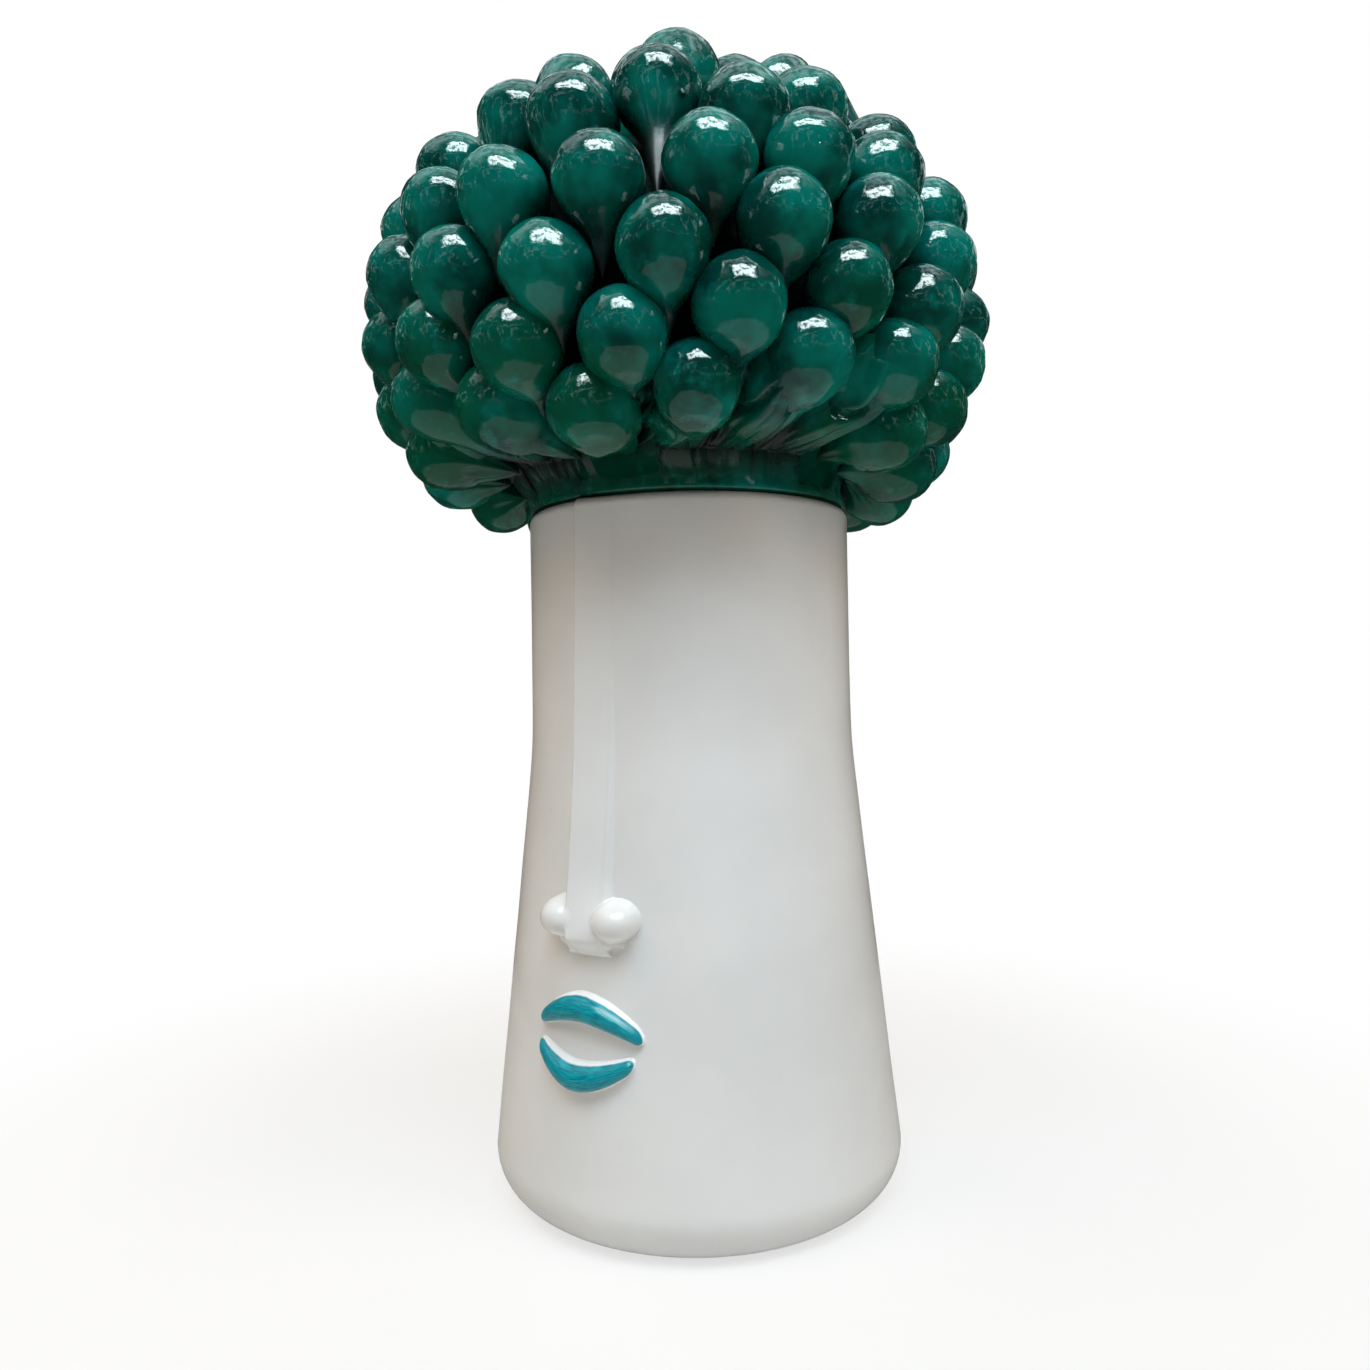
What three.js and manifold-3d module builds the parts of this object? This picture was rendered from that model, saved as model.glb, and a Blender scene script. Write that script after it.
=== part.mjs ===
// A lidded ceramic vase: a white body with a plain face in relief, and a green lid covered
// with rows of clay drops. Millimetres, +Z up, origin at the centre of the foot, face to -Y.

import * as THREE from 'three';
import { mergeVertices } from 'three/addons/utils/BufferGeometryUtils.js';
import Module from 'manifold-3d';

const wasm = await Module();
wasm.setup();

// Body of revolution
const bodyHeight = 360;
const rimRadius = 87;
const neckLength = 122; // straight stretch below the rim
const baseRadius = 110; // widest point of the flare
const baseHeight = 24; // height of the widest point
const footRadius = 88;
const bodyWall = 8;
const floorThickness = 9;
const rimRounding = 5;
const rimRoundingLimit = 0.65; // share of the wall that the rounding may take
const mouthRounding = 1.5;
const mouthRoundingLimit = 0.25;
const bodySides = 42;

// Clearances
const pieceGap = 0.3; // joint between two luted pieces
const ringClearance = 2; // lid ring inside the mouth, all round

// Face: heights above the foot, widths along the wall, proud of the wall
const noseTipHeight = 148;
const noseTopInset = 6; // below the rim
const noseWidth = 24;
const noseTipProud = 11;
const noseTopProud = 4.5;
const noseShift = -1.2; // the middle of the nose along the wall
const noseBaseWidth = 46;
const noseBaseThickness = 12;
const noseBaseProud = 6;
const noseBaseDrop = 2; // middle of the base below the nose tip
const nostrilWidth = 23.4;
const nostrilThickness = 20;
const nostrilSpacing = 30;
const nostrilLift = 9.2; // middle of the ball above the nose tip
const nostrilProud = 14;
const nostrilHoleRadius = 2.6;
const nostrilHoleProud = 3.7; // middle of the hole out from the wall
const mouthDrop = 48.5; // mouth centre below the nose tip
const mouthOpening = 18;
const lipLength = 60;
const lipThickness = 14;
const lipEndThickness = 6.5;
const lipEndGap = 10.5; // between the centre lines of the lips' ends
const lipProud = 8;
const lipEndProud = 3.5;
const lipTilt = 0.05; // fall of the mouth towards its right end
const lowerLipReach = 26; // from the middle to the right end
const upperLipPeakShift = -2;
const lowerLipPeakShift = -5;
const lipArchPower = 1.7; // how the arch falls off from its peak
const lipSteps = 12;
const rootDepth = 3; // how far a face piece starts inside the wall before it is trimmed

// Lid dome
const domeRadius = 127;
const domeHalfHeight = 101;
const domeWall = 8;
const seatInset = 2.5; // seat edge inside the rim's edge
const seatFlare = 4; // neck spreads this much up to the dome
const seatNeckHeight = 20;
const shiftStart = 0.75; // share of the neck's height above which the dome is shifted
const ringDepth = 22;
const ringWall = 6;
const crownShift = 5; // the dome sits a little off the axis of its seat
const crownShiftAzimuth = -59;
const domeSides = 28;
const domeRings = 7;

// Drops
const dropRadius = 21;
const tailTipHeight = 15; // middle of a tail's tip above the dome, between two bulbs
const neckTipHeight = 5; // the same where a tail runs down to the neck
const tailTipMargin = 1; // degrees of latitude from a tail's tip to the row below
const bandHeight = 6; // clay band that a row's drops are luted to
const bandThickness = 4;
const rowWaves = 3; // each row rises and falls three times round
const rowWaveAzimuth = 43;
const dropSides = 6;

// Rows of drops from the neck up: share of the climb over the dome from its lower edge to its
// crown, wave height and zigzag from drop to drop in degrees, how far every other drop stands
// out, number and first azimuth. The lowest row leaves a stretch bare, where the tails of the
// next row run down to the neck.
const rows = [
  { climb: 0.078, wave: 4.5, zigzag: 0, proud: 0, count: 17, azimuth: 85, skipped: 5 },
  { climb: 0.158, wave: 6.5, zigzag: 0, proud: 0, count: 17, azimuth: 35 },
  { climb: 0.251, wave: 6.5, zigzag: 0, proud: 0, count: 18, azimuth: 42 },
  { climb: 0.357, wave: 6.5, zigzag: 0, proud: 0, count: 18, azimuth: 29.5 },
  { climb: 0.468, wave: 4.5, zigzag: 0, proud: 0, count: 19, azimuth: 37.5 },
  { climb: 0.602, wave: 0, zigzag: 3.8, proud: 0, count: 20, azimuth: 10 },
  { climb: 0.713, wave: 0, zigzag: 3.5, proud: 2.5, count: 12, azimuth: 3 },
  { climb: 0.828, wave: 0, zigzag: 0, proud: 0, count: 8, azimuth: 21 },
  { climb: 0.948, wave: 0, zigzag: 0, proud: 0, count: 3, azimuth: 36 },
];

const degrees = THREE.MathUtils.degToRad;

// Values that follow
const mouthRadius = rimRadius - bodyWall;
const shoulderHeight = bodyHeight - neckLength;
const seatHeight = bodyHeight + pieceGap;
const seatRadius = rimRadius - seatInset;
const ringOuterRadius = mouthRadius - ringClearance;
const ringInnerRadius = ringOuterRadius - ringWall;
const domeLowAngle = -Math.acos((seatRadius + seatFlare) / domeRadius);
const domeCentreHeight = seatHeight + seatNeckHeight - domeHalfHeight * Math.sin(domeLowAngle);
const bulbOffset = dropRadius + pieceGap;
const mouthHeight = noseTipHeight - mouthDrop;
const crownX = crownShift * Math.sin(degrees(crownShiftAzimuth));
const crownY = -crownShift * Math.cos(degrees(crownShiftAzimuth));

const glazeWhite = { color: 0xd6d5cf, roughness: 0.2, metalness: 0 };
const glazeGreen = { color: 0x045c48, roughness: 0.1, metalness: 0 };
const glazeTurquoise = { color: 0x1492a4, roughness: 0.12, metalness: 0 };

// Geometry helpers

function facingOut(positions, index) {
  const a = new THREE.Vector3();
  const b = new THREE.Vector3();
  const c = new THREE.Vector3();
  let volume = 0;
  for (let i = 0; i < index.length; i += 3) {
    a.fromArray(positions, index[i] * 3);
    b.fromArray(positions, index[i + 1] * 3);
    c.fromArray(positions, index[i + 2] * 3);
    volume += a.dot(b.cross(c));
  }
  return volume > 0 ? index : [...index].reverse();
}

function solidOf(geometry) {
  const bare = geometry.clone();
  bare.deleteAttribute('normal');
  bare.deleteAttribute('uv');
  const merged = mergeVertices(bare, 1e-4);
  const positions = merged.attributes.position.array;
  const kept = [];
  for (let i = 0; i < merged.index.count; i += 3) {
    const [a, b, c] = [0, 1, 2].map((k) => merged.index.getX(i + k));
    if (a !== b && b !== c && c !== a) kept.push(a, b, c);
  }
  const triVerts = Uint32Array.from(facingOut(positions, kept));
  const vertProperties = Float32Array.from(positions);
  return new wasm.Manifold(new wasm.Mesh({ numProp: 3, vertProperties, triVerts }));
}

function geometryOf(solid) {
  const { vertProperties, triVerts } = solid.getMesh();
  const geometry = new THREE.BufferGeometry();
  geometry.setAttribute('position', new THREE.Float32BufferAttribute(vertProperties, 3));
  geometry.setIndex(new THREE.Uint32BufferAttribute(triVerts, 1));
  geometry.computeVertexNormals();
  return geometry;
}

// A body of revolution round Z from a profile of [radius, height] points
function turned(profile, sides) {
  const points = profile.map(([radius, height]) => new THREE.Vector2(Math.max(radius, 0), height));
  return new THREE.LatheGeometry(points, sides).rotateX(Math.PI / 2);
}

// A closed skin over equal rings of points, as a loop of rings or with an end on each side
function skinned(rings, looped) {
  const count = rings[0].length;
  const index = [];
  const steps = looped ? rings.length : rings.length - 1;
  for (let i = 0; i < steps; i++) {
    const low = i * count;
    const high = ((i + 1) % rings.length) * count;
    for (let j = 0; j < count; j++) {
      const next = (j + 1) % count;
      index.push(low + j, low + next, high + next, low + j, high + next, high + j);
    }
  }
  if (!looped) {
    const top = (rings.length - 1) * count;
    for (let j = 1; j < count - 1; j++) {
      index.push(0, j + 1, j, top, top + j, top + j + 1);
    }
  }
  const geometry = new THREE.BufferGeometry();
  const flat = rings.flat().flatMap((point) => point.toArray());
  geometry.setAttribute('position', new THREE.Float32BufferAttribute(flat, 3));
  geometry.setIndex(index);
  return geometry;
}

function arcPoints(centre, radii, from, to, steps) {
  const points = [];
  for (let i = 0; i <= steps; i++) {
    const angle = from + ((to - from) * i) / steps;
    points.push([centre[0] + radii[0] * Math.cos(angle), centre[1] + radii[1] * Math.sin(angle)]);
  }
  return points;
}

// Vase body: a flared tube with a closed floor, rounded at the foot and at the rim

const rimOuterRound = Math.min(rimRounding, bodyWall * rimRoundingLimit);
const rimInnerRound = Math.min(mouthRounding, bodyWall * mouthRoundingLimit);
const quarter = Math.PI / 2;

function bodyOuterProfile(grow) {
  const footRound = [baseRadius - footRadius + grow, baseHeight + grow];
  const rimRound = [rimOuterRound + grow, rimOuterRound + grow];
  return [
    [0, -grow],
    ...arcPoints([footRadius, baseHeight], footRound, -quarter, 0, 4),
    [rimRadius + grow, shoulderHeight],
    ...arcPoints([rimRadius - rimOuterRound, bodyHeight - rimOuterRound], rimRound, 0, quarter, 3),
  ];
}

function bodyInnerProfile() {
  const rim = [mouthRadius + rimInnerRound, bodyHeight - rimInnerRound];
  const innerFoot = [footRadius - bodyWall, baseHeight + floorThickness];
  const footRound = [baseRadius - footRadius, baseHeight];
  return [
    ...arcPoints(rim, [rimInnerRound, rimInnerRound], quarter, 2 * quarter, 2),
    [mouthRadius, shoulderHeight],
    ...arcPoints(innerFoot, footRound, 0, -quarter, 3),
    [0, floorThickness],
  ];
}

const vaseBody = turned([...bodyOuterProfile(0), ...bodyInnerProfile()], bodySides);
const bodyKeepOut = solidOf(turned([...bodyOuterProfile(pieceGap), [0, bodyHeight + pieceGap]], bodySides));

function wallRadius(height) {
  if (height >= shoulderHeight) return rimRadius;
  const share = (shoulderHeight - height) / (shoulderHeight - baseHeight);
  return rimRadius + (baseRadius - rimRadius) * share;
}

// A point on the wall, given its distance round from the face's middle line
function onWall(round, height, proud) {
  const radius = wallRadius(height);
  const azimuth = round / radius;
  return new THREE.Vector3(
    (radius + proud) * Math.sin(azimuth),
    -(radius + proud) * Math.cos(azimuth),
    height,
  );
}

// Nose: a long ridge from the rim to the tip, standing on a low base with two hollows

// Sections up the ridge: share of its length, share of its full height off the wall
const ridgeStations = [[0, 0.55], [0.02, 0.85], [0.07, 1], [0.25, 1], [0.55, 1], [0.97, 1], [1, 0.5]];
const ridgeShoulder = { across: 0.72, up: 0.85 };
const ridgeCrest = 0.3; // share of the half width that the flat crest takes
const ridgeFlank = 0.35; // share of the height where the flank starts
const ridgeEndWidth = 0.7; // share of the width that stays where the fullness runs out

function noseRidge(grow) {
  const top = bodyHeight - noseTopInset;
  const length = top - noseTipHeight;
  const rings = ridgeStations.map(([share, fullness]) => {
    const height = noseTipHeight + length * share + grow * Math.sign(share - 0.5);
    const slope = noseTipProud + (noseTopProud - noseTipProud) * share;
    const proud = slope * fullness + grow;
    const half = (noseWidth / 2) * (ridgeEndWidth + (1 - ridgeEndWidth) * fullness) + grow;
    return [
      onWall(noseShift - half, height, -rootDepth),
      onWall(noseShift - half, height, proud * ridgeFlank),
      onWall(noseShift - half * ridgeShoulder.across, height, proud * ridgeShoulder.up),
      onWall(noseShift - half * ridgeCrest, height, proud),
      onWall(noseShift + half * ridgeCrest, height, proud),
      onWall(noseShift + half * ridgeShoulder.across, height, proud * ridgeShoulder.up),
      onWall(noseShift + half, height, proud * ridgeFlank),
      onWall(noseShift + half, height, -rootDepth),
    ];
  });
  return solidOf(skinned(rings, false));
}

function noseBase(grow) {
  const height = noseTipHeight - noseBaseDrop;
  const ball = new THREE.SphereGeometry(1, 12, 6);
  ball.scale(noseBaseWidth / 2 + grow, noseBaseProud + grow, noseBaseThickness / 2 + grow);
  const place = onWall(noseShift, height, 0);
  ball.translate(place.x, place.y, place.z);
  return solidOf(ball);
}

function nostril(side, grow) {
  const height = noseTipHeight + nostrilLift;
  const depth = nostrilWidth / 2;
  const ball = new THREE.SphereGeometry(1, 14, 8);
  ball.scale(nostrilWidth / 2 + grow, depth + grow, nostrilThickness / 2 + grow);
  const place = onWall(noseShift + (side * nostrilSpacing) / 2, height, nostrilProud - depth);
  ball.translate(place.x, place.y, place.z);
  return solidOf(ball);
}

function nostrilHole(side) {
  const height = noseTipHeight - nostrilHoleRadius;
  const hole = new THREE.SphereGeometry(nostrilHoleRadius, 8, 6);
  const place = onWall(noseShift + (side * nostrilSpacing) / 2, height, nostrilHoleProud);
  hole.translate(place.x, place.y, place.z);
  return solidOf(hole);
}

const nose = noseRidge(0).add(noseBase(0)).subtract(bodyKeepOut);
const nosePiece = nose.subtract(nostrilHole(-1)).subtract(nostrilHole(1));
const noseKeepOut = noseRidge(pieceGap).add(noseBase(pieceGap));
const nostrilPiece = (side) => nostril(side, 0).subtract(bodyKeepOut).subtract(noseKeepOut);

// Lips: two crescents with round backs, the upper one arched up and the lower one down

// A lip's section: share of its half thickness, share of its height off the wall
const lipSection = [[-1, 0.3], [-0.75, 0.75], [0, 1], [0.75, 0.75], [1, 0.3]];

function lip(direction, peakShift, rightReach) {
  const middle = mouthHeight + (direction * (mouthOpening + lipThickness)) / 2;
  const arch = (mouthOpening + lipThickness - lipEndGap) / 2;
  const peak = (2 * peakShift) / lipLength;
  const rings = [];
  for (let i = 0; i <= lipSteps; i++) {
    const share = (2 * i) / lipSteps - 1;
    const fromPeak = (share - peak) / (share < peak ? 1 + peak : 1 - peak);
    const full = 1 - fromPeak * fromPeak;
    const round = share * (share > 0 ? rightReach : lipLength / 2);
    const centre = middle - lipTilt * round - direction * arch * Math.abs(fromPeak) ** lipArchPower;
    const half = (lipEndThickness + (lipThickness - lipEndThickness) * full) / 2;
    const proud = lipEndProud + (lipProud - lipEndProud) * full;
    const ring = [onWall(round, centre - half, -rootDepth)];
    for (const [across, up] of lipSection) {
      ring.push(onWall(round, centre + half * across, proud * up));
    }
    ring.push(onWall(round, centre + half, -rootDepth));
    rings.push(ring);
  }
  return solidOf(skinned(rings, false)).subtract(bodyKeepOut);
}

// Lid dome: a hollow shell, open below, with a flat seat on the rim. It is shifted above its neck.

function domeOuterProfile(grow) {
  const radii = [domeRadius + grow, domeHalfHeight + grow];
  const crown = arcPoints([0, domeCentreHeight], radii, domeLowAngle, quarter, domeRings);
  crown[crown.length - 1][0] = 0;
  const neck = seatRadius + grow;
  return [[neck, seatHeight - grow], [neck, seatHeight + seatNeckHeight / 2], ...crown];
}

function domeInnerProfile() {
  const radii = [domeRadius - domeWall, domeHalfHeight - domeWall];
  const crown = arcPoints([0, domeCentreHeight], radii, quarter, domeLowAngle, domeRings);
  crown[0][0] = 0;
  return [...crown, [ringInnerRadius, seatHeight + domeWall], [ringInnerRadius, seatHeight]];
}

// Everything above the neck moves over by the crown's shift
function shiftedCrown(shell) {
  const position = shell.attributes.position;
  for (let i = 0; i < position.count; i++) {
    if (position.getZ(i) > seatHeight + seatNeckHeight * shiftStart) {
      position.setX(i, position.getX(i) + crownX);
      position.setY(i, position.getY(i) + crownY);
    }
  }
  shell.computeVertexNormals();
  return shell;
}

const domeProfile = [...domeOuterProfile(0), ...domeInnerProfile()];
const lidDome = shiftedCrown(turned([...domeProfile, domeProfile[0]], domeSides));
const domeFilled = turned([[0, seatHeight - pieceGap], ...domeOuterProfile(pieceGap)], domeSides);
const domeKeepOut = solidOf(shiftedCrown(domeFilled));

// Locating ring: hangs from the seat into the mouth
const ringTop = seatHeight - pieceGap;
const ringProfile = [
  [ringInnerRadius, ringTop - ringDepth],
  [ringOuterRadius, ringTop - ringDepth],
  [ringOuterRadius, ringTop],
  [ringInnerRadius, ringTop],
  [ringInnerRadius, ringTop - ringDepth],
];
const locatingRing = turned(ringProfile, bodySides);

// Drops: each is a bulb on the dome's shoulder with a tail that tapers down to the dome

function overDome(azimuth, latitude, height) {
  const across = (domeRadius + height) * Math.cos(latitude);
  return new THREE.Vector3(
    crownX + across * Math.sin(azimuth),
    crownY - across * Math.cos(azimuth),
    domeCentreHeight + (domeHalfHeight + height) * Math.sin(latitude),
  );
}

function rowLatitude(row, azimuth) {
  const level = domeLowAngle + (quarter - domeLowAngle) * row.climb;
  return level + degrees(row.wave) * Math.sin(rowWaves * (azimuth - degrees(rowWaveAzimuth)));
}

// Where each drop of a row stands
function rowPlaces(row) {
  const pitch = (2 * Math.PI) / row.count;
  return Array.from({ length: row.count - (row.skipped ?? 0) }, (_, i) => {
    const azimuth = degrees(row.azimuth) + pitch * i;
    const zigzag = degrees(row.zigzag) * (i % 2 ? 1 : -1);
    const proud = i % 2 ? row.proud : 0;
    return { azimuth, latitude: rowLatitude(row, azimuth) + zigzag, proud };
  });
}

// A tail's tip: between two bulbs of the row below, or at the neck where that row is bare
function tailTip(below, azimuth) {
  const atNeck = overDome(azimuth, domeLowAngle, neckTipHeight);
  if (!below) return atNeck;
  const pitch = (2 * Math.PI) / below.count;
  const fromFirst = azimuth - degrees(below.azimuth) + pitch / 2;
  const turn = THREE.MathUtils.euclideanModulo(fromFirst, 2 * Math.PI);
  if (turn > pitch * rowPlaces(below).length) return atNeck;
  return overDome(azimuth, rowLatitude(below, azimuth) + degrees(tailTipMargin), tailTipHeight);
}

// A drop's outline from the bulb's top to the tail's tip: share of the bulb's radius, then the
// place along the axis as a share of the radius above the bulb's middle, of the tail below it
const bulbOutline = [[0, -1], [0.8, -0.62], [1.04, 0.08]];
const tailOutline = [[0.72, 0.52], [0.34, 0.88], [0, 1]];

function drop({ azimuth, latitude, proud }, tip, grow) {
  const bulb = overDome(azimuth, latitude, bulbOffset + proud);
  const length = bulb.distanceTo(tip) + grow;
  const radius = dropRadius + grow;
  const points = [
    ...bulbOutline.map(([across, along]) => new THREE.Vector2(radius * across, radius * along)),
    ...tailOutline.map(([across, along]) => new THREE.Vector2(radius * across, length * along)),
  ];
  const shape = new THREE.LatheGeometry(points, dropSides);
  const along = tip.clone().sub(bulb).normalize();
  const side = new THREE.Vector3(Math.cos(azimuth), Math.sin(azimuth), 0);
  const across = new THREE.Vector3().crossVectors(side, along);
  const place = new THREE.Matrix4().makeBasis(side, along, across).setPosition(bulb);
  return solidOf(shape.applyMatrix4(place));
}

// The clay band under a row, straight from each drop's place to the next, clear of the dome
function rowBand(row, grow) {
  const rings = rowPlaces(row).map(({ azimuth, latitude, proud }) => {
    const top = latitude + grow / domeHalfHeight;
    const low = top - (bandHeight + 2 * grow) / domeHalfHeight;
    const sag = domeRadius * Math.cos(top) * (1 - Math.cos(Math.PI / row.count));
    const floor = sag + 2 * pieceGap;
    return [
      overDome(azimuth, low, floor),
      overDome(azimuth, (low + top) / 2, floor + bandThickness + proud + grow),
      overDome(azimuth, top, floor),
    ];
  });
  return solidOf(skinned(rings, rings.length === row.count));
}

// A row's band and drops, with tails that reach down to the row below or to the neck
function rowSolid(row, below, grow) {
  let solid = rowBand(row, grow);
  for (const place of rowPlaces(row)) {
    solid = solid.add(drop(place, tailTip(below, place.azimuth), grow));
  }
  return solid;
}

// Assembly

const vase = new THREE.Group();
vase.name = 'vase';
const lid = new THREE.Group();
lid.name = 'lid';

function addPiece(group, name, geometry, look) {
  const mesh = new THREE.Mesh(geometry, new THREE.MeshStandardMaterial(look));
  mesh.name = name;
  group.add(mesh);
}

addPiece(vase, 'vase_body', vaseBody, glazeWhite);
addPiece(vase, 'nose_ridge', geometryOf(nosePiece), glazeWhite);
addPiece(vase, 'nostril_left', geometryOf(nostrilPiece(-1)), glazeWhite);
addPiece(vase, 'nostril_right', geometryOf(nostrilPiece(1)), glazeWhite);
addPiece(vase, 'upper_lip', geometryOf(lip(1, upperLipPeakShift, lipLength / 2)), glazeTurquoise);
addPiece(vase, 'lower_lip', geometryOf(lip(-1, lowerLipPeakShift, lowerLipReach)), glazeTurquoise);

addPiece(lid, 'lid_dome', lidDome, glazeGreen);
addPiece(lid, 'lid_locating_ring', locatingRing, glazeGreen);

// A row's bulbs lie over the tails of the row above, so each row is cut by the one below it
rows.forEach((row, k) => {
  const below = rows[k - 1];
  const solid = rowSolid(row, below, 0);
  const piece = below ? solid.subtract(rowSolid(below, rows[k - 2], pieceGap)) : solid;
  addPiece(lid, `drop_row_${k + 1}`, geometryOf(piece.subtract(domeKeepOut)), glazeGreen);
});

const liddedVase = new THREE.Group();
liddedVase.name = 'lidded_vase';
liddedVase.add(vase, lid);

export default liddedVase;
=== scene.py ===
import math
import random

import bmesh
import bpy
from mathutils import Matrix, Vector, noise


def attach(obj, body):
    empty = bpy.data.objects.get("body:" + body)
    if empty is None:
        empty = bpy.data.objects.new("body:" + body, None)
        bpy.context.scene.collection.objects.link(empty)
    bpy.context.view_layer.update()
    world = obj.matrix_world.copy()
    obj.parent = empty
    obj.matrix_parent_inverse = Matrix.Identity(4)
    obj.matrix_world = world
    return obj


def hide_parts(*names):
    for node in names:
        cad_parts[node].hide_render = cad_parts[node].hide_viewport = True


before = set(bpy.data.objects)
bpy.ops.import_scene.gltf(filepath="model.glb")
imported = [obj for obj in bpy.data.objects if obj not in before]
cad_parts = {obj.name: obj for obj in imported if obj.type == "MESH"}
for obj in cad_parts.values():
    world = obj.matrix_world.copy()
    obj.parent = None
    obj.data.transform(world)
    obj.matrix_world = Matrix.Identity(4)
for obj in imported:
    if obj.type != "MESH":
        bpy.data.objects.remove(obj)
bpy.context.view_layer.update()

# Camera. The photograph is taken from the vase's right front, level with the middle of its body,
# at about 0.6 m, with the lens of a phone and one degree of tilt.
camera_azimuth = math.radians(31)
camera_distance = 0.585
camera_height = 0.2673
camera_sidestep = 0.0033
camera_roll = math.radians(1)
focal_pixels = 1055
photo_pixels = 1370
sensor_width = 36

to_camera = Vector((math.sin(camera_azimuth), -math.cos(camera_azimuth), 0))
camera_right = Vector((math.cos(camera_azimuth), math.sin(camera_azimuth), 0))
lens = bpy.data.cameras.new("photo_camera")
lens.sensor_width = sensor_width
lens.lens = sensor_width * focal_pixels / photo_pixels
camera = bpy.data.objects.new("photo_camera", lens)
camera.location = to_camera * camera_distance - camera_right * camera_sidestep
camera.location.z = camera_height
camera.rotation_euler = (math.pi / 2, camera_roll, camera_azimuth)
bpy.context.scene.collection.objects.link(camera)
bpy.context.scene.camera = camera
bpy.context.scene.view_settings.view_transform = "Standard"

# Vase body. Thrown in red-free white earthenware as a tube that flares to its foot, dipped in a
# white tin glaze, with the foot wiped clean so that it doesn't stick to the kiln shelf.
body_height = 0.360
rim_radius = 0.087
base_radius = 0.110
base_height = 0.024
foot_radius = 0.088
shoulder_height = 0.238
shoulder_softness = 0.030
wall = 0.008
floor_thickness = 0.009
rim_rounding = 0.005
mouth_rounding = 0.0025
outer_step, outer_count = 0.004, 81
inner_step, inner_count = 0.008, 39
inner_top = body_height - 0.010
turn_steps = 192
throwing_wobble = 0.0002
wobble_sideways, wobble_up = 9, 26  # swells per metre
foot_edge = 0.001
underside_middle = 0.5 * foot_radius
inner_floor_middle = 0.4 * foot_radius
floor_middle = 0.02

thin_white = (0.74, 0.745, 0.735, 1)
thick_white = (0.80, 0.80, 0.79, 1)
pinhole_brown = (0.40, 0.36, 0.31, 1)
pinhole_share = 0.35
dark_clay = (0.50, 0.41, 0.32, 1)
light_clay = (0.62, 0.53, 0.43, 1)
wiped_foot = (0.0022, 0.0012)  # heights between which the glaze gives way to clay
wiped_waver = 0.0016
white_roughness = 0.22
clay_roughness = 0.8
white_cloud_scale, white_cloud_range = 14.0, (0.3, 0.7)
wiped_waver_scale = 60.0
grain_scale, grain_range = 900.0, (0.35, 0.65)


def smooth_step(low, high, value):
    share = min(max((value - low) / (high - low), 0.0), 1.0)
    return share * share * (3 - 2 * share)


def eased(below):
    """A depth below the shoulder, with a soft bend where it starts."""
    return 0.5 * (below + math.sqrt(below * below + shoulder_softness ** 2 / 4))


def wall_radius(height):
    """The outer wall: straight above the shoulder, flared below it, with a soft bend between."""
    start = eased(shoulder_height - body_height)
    full = eased(shoulder_height - base_height) - start
    flare = (eased(shoulder_height - height) - start) / full
    return rim_radius + (base_radius - rim_radius) * flare


def arc(centre, radii, start, end, steps):
    angles = [start + (end - start) * i / steps for i in range(steps + 1)]
    return [(centre[0] + radii[0] * math.cos(angle), centre[1] + radii[1] * math.sin(angle))
            for angle in angles]


def turned(bm, profile, steps):
    """Spins a profile of (radius, height) points round Z and closes it."""
    verts = [bm.verts.new((max(radius, 0.0), 0, height)) for radius, height in profile]
    edges = [bm.edges.new(pair) for pair in zip(verts, verts[1:])]
    bmesh.ops.spin(bm, geom=verts + edges, cent=(0, 0, 0), axis=(0, 0, 1), angle=2 * math.pi,
                   steps=steps, use_merge=True)
    bmesh.ops.remove_doubles(bm, verts=bm.verts, dist=1e-6)
    bmesh.ops.recalc_face_normals(bm, faces=bm.faces)


def as_object(bm, name, material):
    """Turns a bmesh into an object of the scene in one material."""
    mesh = bpy.data.meshes.new(name)
    bm.to_mesh(mesh)
    bm.free()
    thing = bpy.data.objects.new(name, mesh)
    bpy.context.scene.collection.objects.link(thing)
    thing.data.materials.append(material)
    return thing


def finished(bm, name, body, node, material):
    """Turns a bmesh into a smooth piece that rides on a body and stands for a CAD node."""
    piece = as_object(bm, name, material)
    piece.data.shade_smooth()
    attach(piece, body)
    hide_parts(node)
    return piece


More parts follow.
